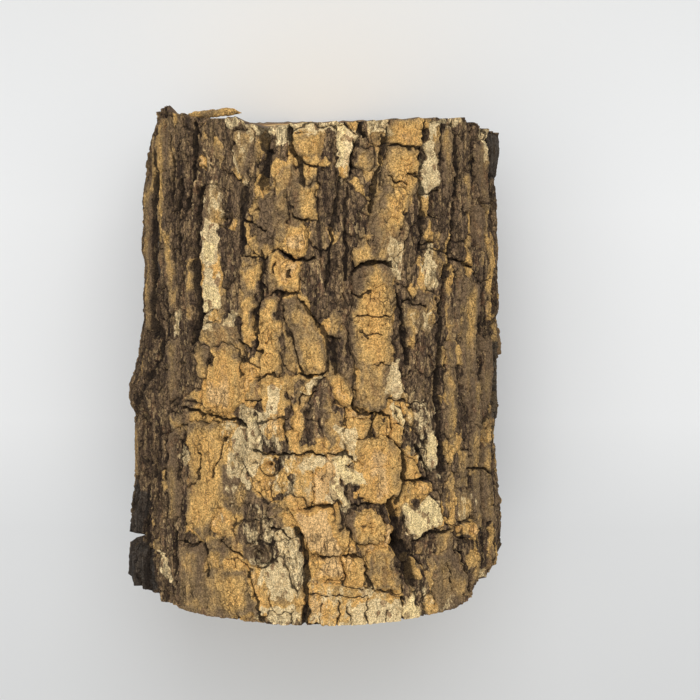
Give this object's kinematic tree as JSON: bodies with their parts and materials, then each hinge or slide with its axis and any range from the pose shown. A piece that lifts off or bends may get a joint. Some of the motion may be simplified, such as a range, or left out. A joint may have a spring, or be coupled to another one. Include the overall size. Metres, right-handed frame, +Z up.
{
  "type": "thanakha log",
  "caption": "Short round log of wood in rough fissured bark, sawn square at both ends and lying on its side.",
  "frame": {"origin": "centre of the log's footprint, on the plane it lies on", "axes": "+Y along the log towards its head end, +Z up from the plane it lies on"},
  "size_m": [0.0934, 0.1135, 0.0911],
  "materials": {
    "bark": "rough dry bark, golden tan plates over dark brown fibres, with pale sawn ends"
  },
  "bodies": {
    "root": {"log": "bark"}
  },
  "joints": []
}
